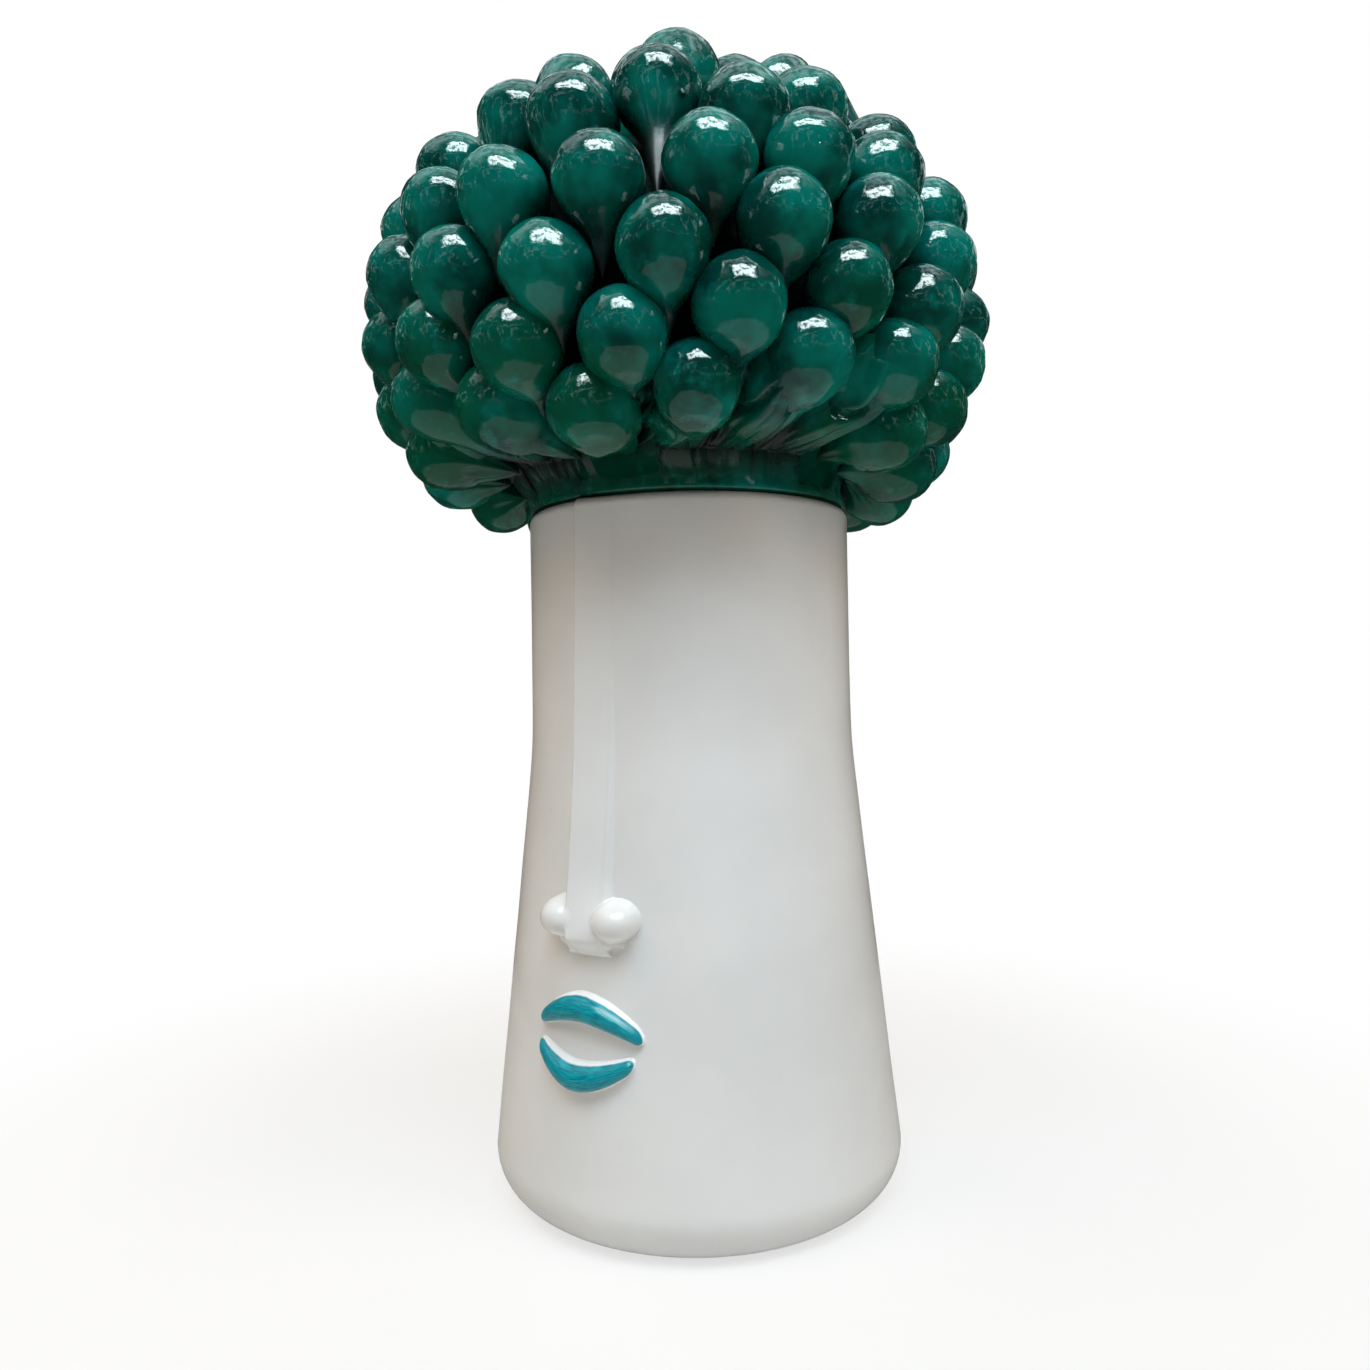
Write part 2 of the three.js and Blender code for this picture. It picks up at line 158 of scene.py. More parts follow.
class Nodes:
    """Short names for building a node tree."""

    def __init__(self, tree):
        self.tree = tree

    def add(self, kind, settings=None, **inputs):
        """Adds a node. An input is given by its name, or by i and its number."""
        node = self.tree.nodes.new(kind)
        for key, value in (settings or {}).items():
            setattr(node, key, value)
        for key, value in inputs.items():
            numbered = key[0] == "i" and key[1:].isdigit()
            socket = node.inputs[int(key[1:]) if numbered else key.replace("_", " ")]
            if isinstance(value, bpy.types.NodeSocket):
                self.tree.links.new(value, socket)
            else:
                socket.default_value = value
        return node

    def link(self, value, socket):
        self.tree.links.new(value, socket)

    def math(self, operation, first, second=0.0):
        return self.add("ShaderNodeMath", {"operation": operation}, i0=first, i1=second).outputs[0]

    def plus(self, first, second):
        return self.math("ADD", first, second)

    def times(self, first, second):
        return self.math("MULTIPLY", first, second)

    def ranged(self, value, low, high, to_low=0.0, to_high=1.0):
        """Maps low to high softly to to_low to to_high."""
        return self.add("ShaderNodeMapRange", {"interpolation_type": "SMOOTHSTEP"},
                        i0=value, i1=low, i2=high, i3=to_low, i4=to_high).outputs[0]

    def blend(self, share, first, second):
        node = self.add("ShaderNodeMix", {"data_type": "RGBA"}, i0=share, i6=first, i7=second)
        return node.outputs[2]

    def noise(self, vector, scale, detail=2.0, roughness=0.5):
        return self.add("ShaderNodeTexNoise", Vector=vector, Scale=scale, Detail=detail,
                        Roughness=roughness).outputs[0]

    def parts(self, vector):
        return self.add("ShaderNodeSeparateXYZ", Vector=vector).outputs

    def attribute(self, name, output):
        return self.add("ShaderNodeAttribute", {"attribute_name": name}).outputs[output]

    def stretched(self, vector, scale):
        return self.add("ShaderNodeMapping", Vector=vector, Scale=scale).outputs[0]


def new_group(name, inputs, outputs):
    tree = bpy.data.node_groups.new(name, "ShaderNodeTree")
    for kind, entries in (("INPUT", inputs), ("OUTPUT", outputs)):
        for label, socket_type in entries:
            tree.interface.new_socket(name=label, in_out=kind, socket_type=socket_type)
    nodes = Nodes(tree)
    return nodes, nodes.add("NodeGroupInput").outputs, nodes.add("NodeGroupOutput").inputs


def new_material(name):
    material = bpy.data.materials.new(name)
    material.use_nodes = True
    nodes = Nodes(material.node_tree)
    shader = material.node_tree.nodes["Principled BSDF"]
    place = nodes.add("ShaderNodeTexCoord").outputs["Object"]
    return material, nodes, shader, place


# Glaze skin: a slow undulation, a finer orange-peel and a scatter of pinholes, as one bump
wave_scale, peel_scale, pinhole_scale = 45.0, 420.0, 95.0
pinhole_chance = (0.86, 0.9)
pinhole_size = (0.10, 0.03)
FLOAT, VECTOR = "NodeSocketFloat", "NodeSocketVector"
nodes, given, wanted = new_group(
    "glaze_skin",
    [("Place", VECTOR), ("Waves", FLOAT), ("Peel", FLOAT), ("Pits", FLOAT)],
    [("Height", FLOAT), ("Pinhole", FLOAT)],
)
slow = nodes.noise(given["Place"], wave_scale, 1.0)
fine = nodes.noise(given["Place"], peel_scale, 2.0)
cells = nodes.add("ShaderNodeTexVoronoi", Vector=given["Place"], Scale=pinhole_scale)
chosen = nodes.ranged(cells.outputs["Color"], *pinhole_chance)
pinhole = nodes.times(nodes.ranged(cells.outputs["Distance"], *pinhole_size), chosen)
total = nodes.plus(nodes.times(slow, given["Waves"]), nodes.times(fine, given["Peel"]))
total = nodes.math("SUBTRACT", total, nodes.times(pinhole, given["Pits"]))
nodes.link(total, wanted["Height"])
nodes.link(pinhole, wanted["Pinhole"])
glaze_skin = nodes.tree


def skin(nodes, place, waves, peel, pits):
    return nodes.add("ShaderNodeGroup", {"node_tree": glaze_skin}, Place=place, Waves=waves,
                     Peel=peel, Pits=pits).outputs


def bumped(nodes, shader, height, strength, depth):
    bump = nodes.add("ShaderNodeBump", Strength=strength, Distance=depth, Height=height)
    nodes.link(bump.outputs[0], shader.inputs["Normal"])


white_glaze, nodes, shader, place = new_material("white_tin_glaze")
surface = skin(nodes, place, 0.6, 0.10, 0.8)
cloud = nodes.ranged(nodes.noise(place, white_cloud_scale, 3.0), *white_cloud_range)
glazed = nodes.blend(cloud, thin_white, thick_white)
glazed = nodes.blend(nodes.times(surface["Pinhole"], pinhole_share), glazed, pinhole_brown)
waver = nodes.times(nodes.noise(place, wiped_waver_scale), wiped_waver)
edge = nodes.plus(nodes.parts(place)[2], waver)
bare = nodes.ranged(edge, *wiped_foot)
grain = nodes.ranged(nodes.noise(place, grain_scale, 4.0), *grain_range)
clay = nodes.blend(grain, dark_clay, light_clay)
nodes.link(nodes.blend(bare, glazed, clay), shader.inputs["Base Color"])
roughness = nodes.ranged(bare, 0.0, 1.0, white_roughness, clay_roughness)
nodes.link(roughness, shader.inputs["Roughness"])
bumped(nodes, shader, surface["Height"], 0.25, 0.001)
shader.inputs["IOR"].default_value = 1.5

quarter = math.pi / 2
flare_radii = (base_radius - foot_radius, base_height)
outer = [(0, 0), (underside_middle, 0)]
outer += arc((foot_radius, base_height), flare_radii, -quarter, 0, 14)
heights = [base_height + outer_step * i for i in range(1, outer_count + 1)]
outer += [(wall_radius(height), height) for height in heights]
outer += arc((rim_radius - rim_rounding, body_height - rim_rounding),
             (rim_rounding, rim_rounding), 0, quarter, 8)
inner = arc((rim_radius - wall + mouth_rounding, body_height - mouth_rounding),
            (mouth_rounding, mouth_rounding), quarter, 2 * quarter, 6)
heights = [inner_top - inner_step * i for i in range(inner_count)]
inner += [(wall_radius(height) - wall, height) for height in heights]
inner += arc((foot_radius - wall, base_height + floor_thickness), flare_radii, 0, -quarter, 8)
inner += [(inner_floor_middle, floor_thickness), (0, floor_thickness)]

bm = bmesh.new()
turned(bm, outer + inner, turn_steps)
for vert in bm.verts:
    across = math.hypot(vert.co.x, vert.co.y)
    if across > floor_middle and vert.co.z > foot_edge:
        swell = noise.noise(Vector((vert.co.x * wobble_sideways, vert.co.y * wobble_sideways,
                                    vert.co.z * wobble_up)))
        vert.co.x -= vert.co.x / across * throwing_wobble * (1 + swell)
        vert.co.y -= vert.co.y / across * throwing_wobble * (1 + swell)
finished(bm, "thrown_body", "vase", "vase_body", white_glaze)

# Nose. A strip of clay pressed on from the rim down, thin at the top and proud at the tip, with a
# ball of clay on either side and a low base under them, all smoothed together with a wet finger.
nose_top = 0.359
nose_tip = 0.148
nose_half_width = 0.012
nose_tip_proud = 0.0110
nose_top_proud = 0.0045
nose_rise_power = 1.15
nose_slant = 0.70
nose_slant_at_tip = 0.45  # share of the slant that is left at the tip
nose_slant_reach = 0.030
nose_left_edge = (0.0, 0.16)  # across the nose, from 0 at its left to 1 at its right
nose_right_edge = (0.84, 1.16)
nose_end = (nose_tip - 0.011, nose_tip + 0.001)
nose_narrowing = (nose_tip - 0.010, nose_tip + 0.010)
nose_width_at_end = 0.65
nose_top_lean = 0.075
nose_sway, nose_sway_rate = 0.0005, 31
nose_root = 0.0028
nose_shift = -0.0012
groove_depth = 0.0004
groove_place = 0.0066
groove_half_width = 0.0014
groove_top = (0.30, 0.24)
groove_foot = (0.150, 0.175)
nostril_height = 0.1572
nostril_spread = 0.015
nostril_half_width = 0.0117
nostril_half_height = 0.0100
nostril_proud = 0.0140
nostril_edge = (0.86, 0.94)
base_top = 0.1520
base_top_rounding = 0.006
base_foot = 0.1340
base_foot_rounding = 0.014
base_foot_power = 1.1
base_half_width = 0.0235
base_side = (0.55, 1.0)
base_proud = 0.0056
hole_height = 0.1428
hole_spread = 0.0150
hole_radius = 0.0026
hole_stretch = 1.25
hole_edge = (0.35, 1.25)
hole_depth = 0.0055
finger_fillet = 0.0008
nose_step = 0.0006
ball_step = 0.0005
relief_root = 0.003
relief_overlap = 0.0001


def soft_max(values, softness):
    """The largest value, with a fillet where two are alike."""
    high = max(values)
    return high + softness * math.log(sum(math.exp((value - high) / softness) for value in values))


def dome_height(across, up, proud):
    """A round bump of unit half width and half height, standing on the wall."""
    left = 1 - across * across - up * up
    return proud * math.sqrt(left) if left > 0 else -0.35 * proud * (1 - 1 / (1 + 2 * -left))


def ball_reach(round_, z, side):
    """Where a place lies across and up a nostril's ball, 1 at the ball's edge."""
    return ((round_ - side * nostril_spread) / nostril_half_width,
            (z - nostril_height) / nostril_half_height)


def ridge_height(round_, z):
    """The long ridge: steep on its left, slanting off to its right, with a scored groove."""
    climb = min(max((z - nose_tip) / (nose_top - nose_tip), 0.0), 1.0)
    proud = nose_top_proud + (nose_tip_proud - nose_top_proud) * (1 - climb) ** nose_rise_power
    across = 0.5 + 0.5 * (round_ + nose_sway * math.sin(z * nose_sway_rate)) / nose_half_width
    across += nose_top_lean * climb * (1 - across)
    width = nose_width_at_end + (1 - nose_width_at_end) * smooth_step(*nose_narrowing, z)
    across = 0.5 + (across - 0.5) / width
    above_tip = smooth_step(nose_tip, nose_tip + nose_slant_reach, z)
    slant = nose_slant * (nose_slant_at_tip + (1 - nose_slant_at_tip) * above_tip)
    section = smooth_step(*nose_left_edge, across) * (1 - smooth_step(*nose_right_edge, across))
    section *= 1 - slant * across
    groove = math.exp(-(((round_ - groove_place) / groove_half_width) ** 2))
    groove *= smooth_step(*groove_top, z) * smooth_step(*groove_foot, z)
    ridge = (proud + nose_root) * smooth_step(*nose_end, z) * section - nose_root
    return ridge - groove_depth * groove


def nose_base_height(round_, z):
    """The low base under the tip and the balls."""
    full = smooth_step(base_foot, base_foot + base_foot_rounding, z) ** base_foot_power
    full *= 1 - smooth_step(base_top, base_top + base_top_rounding, z)
    full *= 1 - smooth_step(*base_side, abs(round_) / base_half_width)
    return (base_proud + nose_root) * full - nose_root


def nose_height(round_, z):
    """How far the nose stands off the wall at a place on it."""
    round_ -= nose_shift
    balls = [dome_height(*ball_reach(round_, z, side), nostril_proud) for side in (-1, 1)]
    heights = [ridge_height(round_, z), *balls, nose_base_height(round_, z), -nose_root]
    height = soft_max(heights, finger_fillet)
    for side in (-1, 1):
        reach = math.hypot((round_ - side * hole_spread) / (hole_stretch * hole_radius),
                           (z - hole_height) / hole_radius)
        height -= hole_depth * (1 - smooth_step(*hole_edge, reach))
    return height


def on_wall(round_, z, proud):
    """A point so far round the wall from the middle of the face, at a height, proud of the wall."""
    radius = wall_radius(z)
    over_rim = min(max(z - body_height + rim_rounding, 0.0) / rim_rounding, 1.0)
    radius -= rim_rounding * (1 - math.sqrt(1 - over_rim * over_rim))
    azimuth = round_ / radius
    return Vector(((radius + proud) * math.sin(azimuth), -(radius + proud) * math.cos(azimuth), z))


def patch(across, up, place):
    """A grid set by place(u, v, sunk), u and v from 0 to 1, its edge sunk and closed behind."""
    bm = bmesh.new()
    bmesh.ops.create_grid(bm, x_segments=across, y_segments=up, size=0.5)
    rim = [edge for edge in bm.edges if edge.is_boundary]
    rim = bmesh.ops.extrude_edge_only(bm, edges=rim)["geom"]
    sunk = {item for item in rim if isinstance(item, bmesh.types.BMVert)}
    bmesh.ops.holes_fill(bm, edges=[edge for edge in bm.edges if edge.is_boundary], sides=0)
    for vert in bm.verts:
        vert.co = place(vert.co.x + 0.5, vert.co.y + 0.5, vert in sunk)
    bmesh.ops.recalc_face_normals(bm, faces=bm.faces)
    return bm


def relief(centre, size, step, height):
    """A patch over the wall, raised by height(round, z), closed behind inside the wall."""
    def place(u, v, sunk):
        round_, z = centre[0] + (u - 0.5) * size[0], centre[1] + (v - 0.5) * size[1]
        return on_wall(round_, z, -relief_root if sunk else height(round_, z))
    return patch(*(max(2, round(length / step)) for length in size), place)


def ball_share(round_, z, side):
    """One inside the clay ball on a side, none outside it."""
    return 1 - smooth_step(*nostril_edge, math.hypot(*ball_reach(round_ - nose_shift, z, side)))


def ridge_surface(round_, z):
    inside = ball_share(round_, z, -1) + ball_share(round_, z, 1)
    return nose_height(round_, z) - relief_overlap * inside - throwing_wobble


def ball_surface(side):
    def surface(round_, z):
        outside = 1 - ball_share(round_, z, side)
        return nose_height(round_, z) - relief_overlap * outside - throwing_wobble
    return surface


nose_low, nose_high = base_foot - 0.003, body_height - 0.0006
nose_patch = (0.060, nose_high - nose_low)
bm = relief((0, (nose_low + nose_high) / 2), nose_patch, nose_step, ridge_surface)
finished(bm, "nose_relief", "vase", "nose_ridge", white_glaze)
ball_patch = (2.1 * nostril_half_width, 2.1 * nostril_half_height)
for side, word in ((-1, "left"), (1, "right")):
    centre = (nose_shift + side * nostril_spread, nostril_height)
    bm = relief(centre, ball_patch, ball_step, ball_surface(side))
    finished(bm, "nostril_ball_" + word, "vase", "nostril_" + word, white_glaze)

# Lips. Two crescents of clay pressed on under the nose, then brushed with turquoise over the white
# glaze, which is left as a thin raised rim round each.
mouth_height = 0.0995
mouth_opening = 0.018
lip_length = 0.060
lip_thickness = 0.0140
lip_end_thickness = 0.0065
lip_end_gap = 0.0105
lip_end_start = 0.86  # where along a lip its round end starts
lip_proud = 0.0080
lip_end_proud = 0.0035
lip_sunk = 0.0008
lip_root = 0.002
lip_fillet = 0.0005
lip_tilt = 0.05
upper_peak_shift = -0.002
lower_peak_shift = -0.005
lower_lip_end = 0.026
arch_power = 1.7
arch_limit = 1.25
lip_patch = (0.070, 0.035)
lip_patch_lift = 0.0125
lip_step = 0.0005

thin_turquoise = (0.0005, 0.150, 0.200, 1)
full_turquoise = (0.004, 0.340, 0.410, 1)
hair_turquoise = (0.010, 0.50, 0.58, 1)
hair_share = 0.30
lip_white = (0.86, 0.88, 0.88, 1)
painted_edge = (0.68, 1.04)
paint_range = (0.30, 0.62)
ragged_edge, ragged_scale = 0.22, 260.0
streak_scale, streak_range = (1.6, 9.0, 1.0), (0.32, 0.68)
hair_scale, hair_range = (3.0, 42.0, 1.0), (0.4, 0.7)
streak_relief = 0.20


def lip_place(round_, z, direction, peak_shift):
    """Across a lip from -1 to 1, along it from -1 to 1, and how full it is there."""
    middle = mouth_height + direction * (mouth_opening + lip_thickness) / 2 - lip_tilt * round_
    arch = (mouth_opening + lip_thickness - lip_end_gap) / 2
    end = lower_lip_end if direction < 0 and round_ > 0 else lip_length / 2
    peak = peak_shift / (lip_length / 2)
    along = round_ / end
    from_peak = (along - peak) / (1 + peak if along < peak else 1 - peak)
    full = max(0.0, 1 - from_peak * from_peak)
    centre = middle - direction * arch * min(abs(from_peak), arch_limit) ** arch_power
    half = (lip_end_thickness + (lip_thickness - lip_end_thickness) * full) / 2
    return (z - centre) / half, along, full


def lip_reach(across, along):
    """How far out on a lip a place is: 0 on its middle line, 1 at its edge and its round ends."""
    ends = max(0.0, abs(along) - lip_end_start) / (1 - lip_end_start)
    return math.sqrt(across * across + ends * ends)


def lip_surface(direction, peak_shift):
    def surface(round_, z):
        across, along, full = lip_place(round_, z, direction, peak_shift)
        proud = lip_end_proud + (lip_proud - lip_end_proud) * full
        reach = lip_reach(across, along)
        inside = reach < 1
        body = proud * math.sqrt(1 - reach * reach) if inside else -lip_root * min(reach - 1, 1.0)
        return soft_max([body, -lip_sunk], lip_fillet) - throwing_wobble
    return surface


turquoise_glaze, nodes, shader, place = new_material("turquoise_brushed_glaze")
paint = nodes.attribute("paint", "Fac")
stroke = nodes.attribute("stroke", "Vector")
streaks = nodes.noise(nodes.stretched(stroke, streak_scale), 1.0, 3.0, 0.6)
streaks = nodes.ranged(streaks, *streak_range)
hairs = nodes.ranged(nodes.noise(nodes.stretched(stroke, hair_scale), 1.0, 2.0), *hair_range)
colour = nodes.blend(streaks, thin_turquoise, full_turquoise)
colour = nodes.blend(nodes.times(hairs, hair_share), colour, hair_turquoise)
ragged = nodes.math("SUBTRACT", nodes.noise(place, ragged_scale, 2.0), 0.5)
ragged = nodes.plus(paint, nodes.times(ragged, ragged_edge))
colour = nodes.blend(nodes.ranged(ragged, *paint_range), lip_white, colour)
nodes.link(colour, shader.inputs["Base Color"])
surface = skin(nodes, place, 0.5, 0.25, 0.5)
raised = nodes.plus(surface["Height"], nodes.times(streaks, streak_relief))
bumped(nodes, shader, raised, 0.35, 0.001)
shader.inputs["Roughness"].default_value = 0.12
shader.inputs["IOR"].default_value = 1.55

for word, direction, shift in (("upper", 1, upper_peak_shift), ("lower", -1, lower_peak_shift)):
    centre = (0, mouth_height + direction * lip_patch_lift)
    bm = relief(centre, lip_patch, lip_step, lip_surface(direction, shift))
    paint_layer = bm.verts.layers.float.new("paint")
    stroke_layer = bm.verts.layers.float_vector.new("stroke")
    for vert in bm.verts:
        round_ = math.atan2(vert.co.x, -vert.co.y) * wall_radius(vert.co.z)
        across, along, full = lip_place(round_, vert.co.z, direction, shift)
        vert[paint_layer] = 1 - smooth_step(*painted_edge, lip_reach(across, along))
        vert[stroke_layer] = (along * 3, across, direction)
    finished(bm, word + "_lip_painted", "vase", word + "_lip", turquoise_glaze)

# Lid shell. A thrown dome, open below, whose edge sits on the rim, with a ring under the seat
# that drops into the mouth. Its copper green glaze ran off the shell, thin and dull, and the shell
# is painted near black as shade where it shows between the drops.
dome_radius = 0.127
dome_half_height = 0.101
dome_wall = 0.008
seat_height = 0.3603
seat_radius = 0.0845
seat_flare = 0.004
neck_height = 0.020
neck_straight = 0.45
ring_depth = 0.022
ring_outer = 0.077
ring_inner = 0.071
ring_top = 0.360
ring_round = 0.0015
crown_shift = 0.005
crown_azimuth = math.radians(-59)
shell_steps = 128
shell_level = 0.30
ring_level = 0.6

dark_green = (0.0003, 0.040, 0.032, 1)
full_green = (0.0008, 0.160, 0.126, 1)
leaf_green = (0.0008, 0.075, 0.036, 1)
vein_green = (0.003, 0.26, 0.23, 1)
painted_shade_green = (0.0, 0.006, 0.005, 1)
leaf_share, leaf_scale, leaf_range = 0.75, 18.0, (0.35, 0.6)
leaf_heights = (0.47, 0.40)
vein_share, vein_scale, vein_range = 0.50, 90.0, (0.54, 0.80)
green_cloud_scale, green_cloud_range = 34.0, (0.36, 0.66)
painted_shade_levels = (0.12, 0.66)
dull_levels = (0.1, 0.60)

dome_low_angle = -math.acos((seat_radius + seat_flare) / dome_radius)
dome_centre = Vector((
    crown_shift * math.sin(crown_azimuth),
    -crown_shift * math.cos(crown_azimuth),
    seat_height + neck_height - dome_half_height * math.sin(dome_low_angle),
))


def copper_green(name, thin_roughness, full_roughness, specular):
    """A copper green glaze: painted shade, near black, in the hollows and under the bulbs; dull
    there.
    """
    material, nodes, shader, place = new_material(name)
    level = nodes.attribute("level", "Fac")
    patches = nodes.ranged(nodes.noise(place, leaf_scale, 1.0), *leaf_range)
    leafy = nodes.times(nodes.ranged(nodes.parts(place)[2], *leaf_heights), patches)
    cloud = nodes.ranged(nodes.noise(place, green_cloud_scale, 3.0, 0.55), *green_cloud_range)
    veins = nodes.ranged(nodes.noise(place, vein_scale, 4.0, 0.6), *vein_range)
    colour = nodes.blend(cloud, dark_green, full_green)
    colour = nodes.blend(nodes.times(leafy, leaf_share), colour, leaf_green)
    colour = nodes.blend(nodes.times(veins, vein_share), colour, vein_green)
    # Painted shade: where the level is low, in the crevices between drops, on the bare shell and
    # under each bulb, the glaze is painted near black.
    colour = nodes.blend(nodes.ranged(level, *painted_shade_levels), painted_shade_green, colour)
    nodes.link(colour, shader.inputs["Base Color"])
    roughness = nodes.ranged(level, *dull_levels, thin_roughness, full_roughness)
    nodes.link(roughness, shader.inputs["Roughness"])
    surface = skin(nodes, place, 1.0, 0.06, 0.5)
    bumped(nodes, shader, surface["Height"], 0.9, 0.0012)
    shader.inputs["IOR"].default_value = 1.6
    shader.inputs["Specular IOR Level"].default_value = specular
    return material


green_glaze = copper_green("copper_green_glaze", 0.4, 0.055, 0.5)
thin_green_glaze = copper_green("thin_copper_green_glaze", 0.75, 0.35, 0.10)

inner_radii = (dome_radius - dome_wall, dome_half_height - dome_wall)
shell = [(seat_radius, seat_height), (seat_radius, seat_height + neck_height * neck_straight)]
shell += arc((0, dome_centre.z), (dome_radius, dome_half_height), dome_low_angle, quarter, 40)
shell += arc((0, dome_centre.z), inner_radii, quarter, dome_low_angle, 40)
shell += [(ring_inner, seat_height + dome_wall), (ring_inner, seat_height), shell[0]]
bm = bmesh.new()
level_layer = bm.verts.layers.float.new("level")
turned(bm, shell, shell_steps)
for vert in bm.verts:
    over = smooth_step(seat_height + 0.001, seat_height + neck_height, vert.co.z)
    vert.co.x += dome_centre.x * over
    vert.co.y += dome_centre.y * over
    # Level 0 over the dome paints the shell near black as shade between the drops; the neck is
    # painted lighter.
    vert[level_layer] = shell_level * (1 - over)
finished(bm, "lid_shell", "lid", "lid_dome", thin_green_glaze)

ring_low = ring_top - ring_depth + ring_round
ring = [(ring_outer, ring_top), (ring_outer, ring_low)]
edge_radii = (ring_round, ring_round)
ring += arc((ring_outer - ring_round, ring_low), edge_radii, 0, -quarter, 5)[1:]
ring += arc((ring_inner + ring_round, ring_low), edge_radii, -quarter, -2 * quarter, 5)
ring += [(ring_inner, ring_top), (ring_outer, ring_top)]
bm = bmesh.new()
level_layer = bm.verts.layers.float.new("level")
turned(bm, ring, shell_steps)
for vert in bm.verts:
    vert[level_layer] = ring_level
finished(bm, "lid_ring", "lid", "lid_locating_ring", thin_green_glaze)

# Drops. Balls of clay rolled to a point at one end and luted to the shell row by row from the
# neck up, each with its tail pressed down between two bulbs of the row below.
drop_radius = 0.0210
bulb_offset = drop_radius - 0.0003
tail_tip_height = 0.018
neck_tip_height = 0.005
tail_tip_margin = math.radians(-0.5)
tail_sweep = math.radians(12)
tail_sweep_azimuth = math.radians(40)
row_waves = 3
row_wave_azimuth = math.radians(43)
drop_segments = 40
drop_rings = 28

# How the drops differ by hand. A loss or gain is what a fully tapered drop has less or more.
bulb_size, smeared_size = (0.945, 1.0), (0.90, 0.97)
tip_scatter = 0.0015
tail_stretch = 1.14
tail_width, smeared_width, width_loss = (0.66, 0.80), (0.78, 0.92), 0.26
tail_power, smeared_power, power_loss = 0.70, 0.45, 0.40
bulb_shoulder, shoulder_gain = 1.20, 0.14
bulb_fall, fall_loss = 2, 0.7
bulb_fullness, fullness_gain = 0.5, 0.42
bulb_to_tail = (2.2, 2.8)
bulb_lean = 0.12
bulb_width = (0.97, 1.03)
lump_height, lump_scale = 0.045, 1.3
dent_height, dent_scale = 0.018, 3.6
furrow_depth, furrow_scale = 0.22, 3.2
tail_under, tail_over = 0.6, 0.10  # deeper below and flatter above than it is wide
# Painted shade on the lower part of each bulb: the level falls by this much per bulb radius below
# its middle.
underside_shade_depth = 0.16
# Smeared drops are lifted in level, so that they are painted less in shade.
smeared_level = 0.25

# Rows from the neck up: share of the climb over the dome, wave and zigzag in degrees, how far
# every other drop stands out, number, first azimuth, size, height of the tails' tips and how much
# the drops taper. The lowest row leaves a stretch bare.
rows = [
    {"climb": 0.078, "wave": 4.5, "count": 17, "azimuth": 85, "skipped": 5},
    {"climb": 0.158, "wave": 6.5, "count": 17, "azimuth": 35},
    {"climb": 0.251, "wave": 6.5, "count": 18, "azimuth": 42, "taper": 0.15},
    {"climb": 0.357, "wave": 6.5, "count": 18, "azimuth": 29.5, "taper": 0.35},
    {"climb": 0.468, "wave": 4.5, "count": 19, "azimuth": 37.5, "taper": 0.45},
    {"climb": 0.602, "zigzag": 3.8, "count": 20, "azimuth": 10, "tip": 0.009, "taper": 0.7},
    {"climb": 0.713, "zigzag": 3.5, "proud": 0.0025, "count": 12, "azimuth": 3, "tip": 0.026,
     "taper": 0.9},
    {"climb": 0.828, "count": 8, "azimuth": 21, "size": 1.05, "tip": 0.028, "taper": 0.8},
    {"climb": 0.948, "count": 3, "azimuth": 36, "size": 0.97, "tip": 0.026, "taper": 0.6},
]


def over_dome(azimuth, latitude, height):
    across = (dome_radius + height) * math.cos(latitude)
    return dome_centre + Vector((
        across * math.sin(azimuth),
        -across * math.cos(azimuth),
        (dome_half_height + height) * math.sin(latitude),
    ))


def row_latitude(row, azimuth):
    level = dome_low_angle + (quarter - dome_low_angle) * row["climb"]
    wave = math.radians(row.get("wave", 0))
    return level + wave * math.sin(row_waves * (azimuth - row_wave_azimuth))


def row_places(row):
    """Azimuth, latitude and extra height of each drop in a row."""
    pitch = 2 * math.pi / row["count"]
    places = []
    for i in range(row["count"] - row.get("skipped", 0)):
        azimuth = math.radians(row["azimuth"]) + pitch * i
        zigzag = math.radians(row.get("zigzag", 0)) * (1 if i % 2 else -1)
        proud = row.get("proud", 0) if i % 2 else 0
        places.append((azimuth, row_latitude(row, azimuth) + zigzag, proud))
    return places


def tail_tip(row, below, azimuth):
    """A tail's tip, and whether the tail is smeared over the neck, where the row below is bare."""
    if below is not None:
        pitch = 2 * math.pi / below["count"]
        turn = (azimuth - math.radians(below["azimuth"]) + pitch / 2) % (2 * math.pi)
        if turn <= pitch * len(row_places(below)):
            height = row.get("tip", tail_tip_height)
            return over_dome(azimuth, row_latitude(below, azimuth) + tail_tip_margin, height), False
    swept = azimuth - tail_sweep * math.sin(azimuth - tail_sweep_azimuth)
    return over_dome(swept, dome_low_angle, neck_tip_height), True


def dome_level(point):
    """How far a point stands out over the dome: 0 on it, 1 at the crest of a drop."""
    x, y, z = point - dome_centre
    ratio = Vector((x / dome_radius, y / dome_radius, z / dome_half_height)).length
    return (ratio - 1) * dome_radius / (2 * drop_radius)


ball = bmesh.new()
bmesh.ops.create_uvsphere(ball, u_segments=drop_segments, v_segments=drop_rings, radius=1)
clay_ball = bpy.data.meshes.new("clay_ball")
ball.to_mesh(clay_ball)
ball.free()


